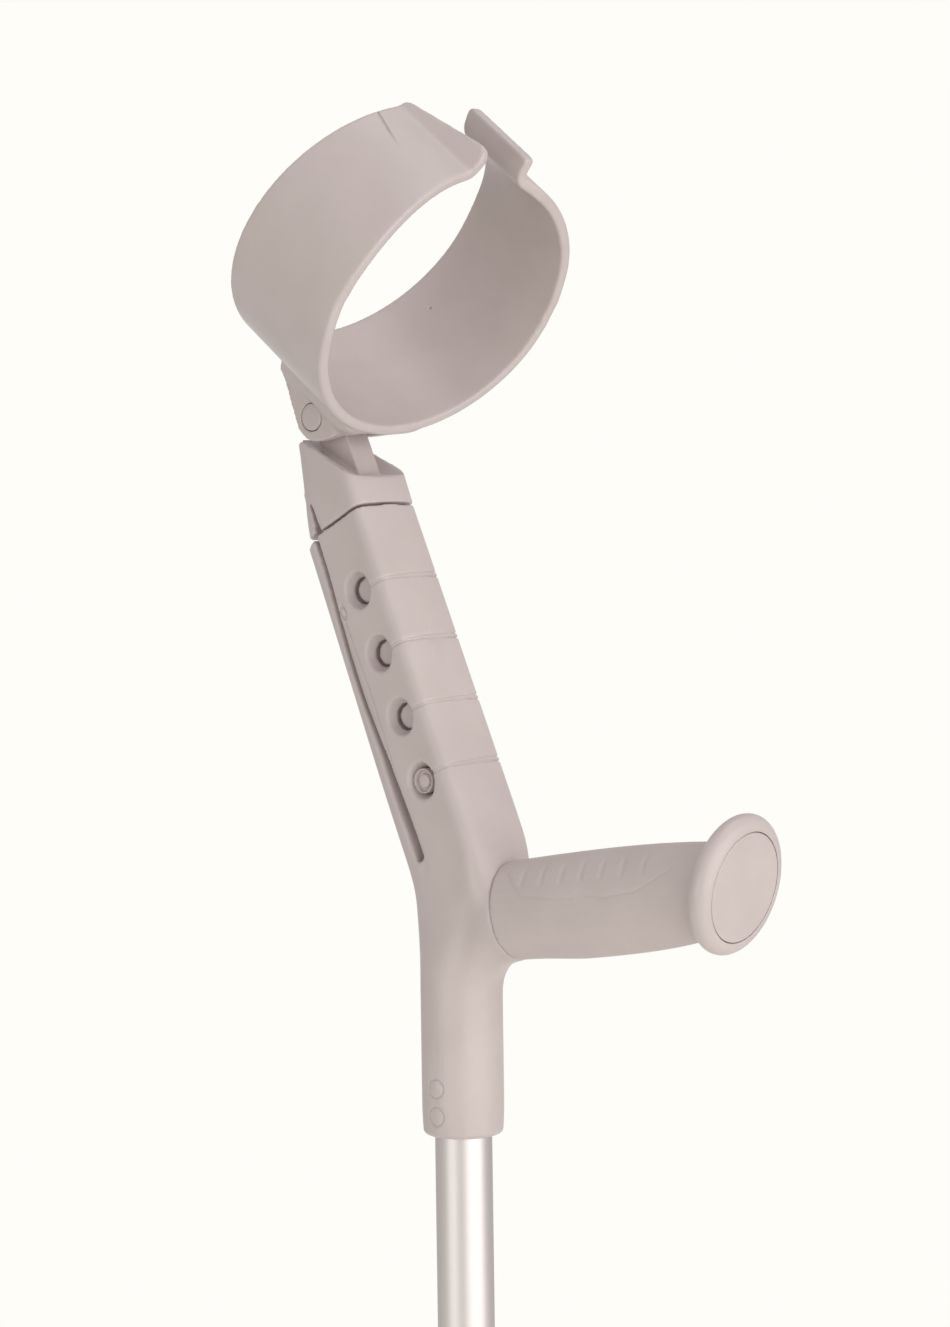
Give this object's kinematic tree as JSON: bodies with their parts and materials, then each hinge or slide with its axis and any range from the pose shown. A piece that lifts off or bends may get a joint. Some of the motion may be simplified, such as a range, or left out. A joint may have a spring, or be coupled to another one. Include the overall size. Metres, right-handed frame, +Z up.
{
  "type": "forearm crutch",
  "caption": "Forearm crutch with a telescopic aluminium leg, a rubber tip, a flanged hand grip and a leaning arm that carries a height-adjustable, swivelling open-ring cuff.",
  "frame": {"origin": "middle of the rubber tip's sole, on the floor, under the tube's axis", "axes": "+Z up along the tube; +X the way the handle points, away from the user's body line; -Y the side with the cuff's adjusting holes"},
  "size_m": [0.2266, 0.1218, 1.1605],
  "materials": {
    "grey_plastic": "fine satin moulding",
    "soft_grip": "soft-touch satin",
    "tube_aluminium": "clear satin anodised",
    "bright_steel": "bright zinc",
    "bush_brass": "turned",
    "tip_rubber": "matte"
  },
  "bodies": {
    "handle": {"handle_body": "grey_plastic", "handle_grip": "soft_grip", "handle_end_flange": "grey_plastic", "handle_end_disc": "grey_plastic", "handle_end_screw": "bright_steel", "handle_end_insert": "bush_brass", "upper_tube": "tube_aluminium", "upper_tube_collar": "grey_plastic"},
    "cuff_slide": {"cuff_slider": "grey_plastic", "cuff_pivot_bush": "bush_brass", "cuff_button_spring": "bright_steel"},
    "cuff_ring": {"cuff": "grey_plastic", "cuff_pivot_pin": "grey_plastic", "cuff_pivot_cap": "grey_plastic"},
    "cuff_snap": {"cuff_button": "grey_plastic"},
    "leg": {"lower_tube": "tube_aluminium", "lower_tube_guide": "grey_plastic", "leg_button_spring": "bright_steel", "ferrule": "tip_rubber", "ferrule_washer": "bright_steel"},
    "leg_snap": {"leg_button": "grey_plastic"}
  },
  "joints": [
    {"name": "cuff_height", "type": "slide", "parent": "handle", "child": "cuff_slide", "axis": [-0.4067, 0, 0.9135], "range_m": [0, 0.0789], "deforming": ["cuff_button", "cuff_button_spring"]},
    {"name": "cuff_pivot", "type": "hinge", "parent": "cuff_slide", "child": "cuff_ring", "pos_m": [-0.06217, 0, 1.04295], "axis": [0, 1, 0], "range_deg": [-15, 24]},
    {"name": "cuff_button_press", "type": "slide", "parent": "cuff_slide", "child": "cuff_snap", "axis": [0, 1, 0], "range_m": [0, 0.004], "stiffness_N_per_m": 500, "springref_m": -0.004, "deforming": ["cuff_button_spring"]},
    {"name": "leg_length", "type": "slide", "parent": "handle", "child": "leg", "axis": [0, 0, 1], "range_m": [-0.125, 0.1], "deforming": ["leg_button", "leg_button_spring"]},
    {"name": "leg_button_press", "type": "slide", "parent": "leg", "child": "leg_snap", "axis": [0, 1, 0], "range_m": [0, 0.0047], "stiffness_N_per_m": 500, "springref_m": -0.004, "deforming": ["leg_button_spring"]}
  ]
}
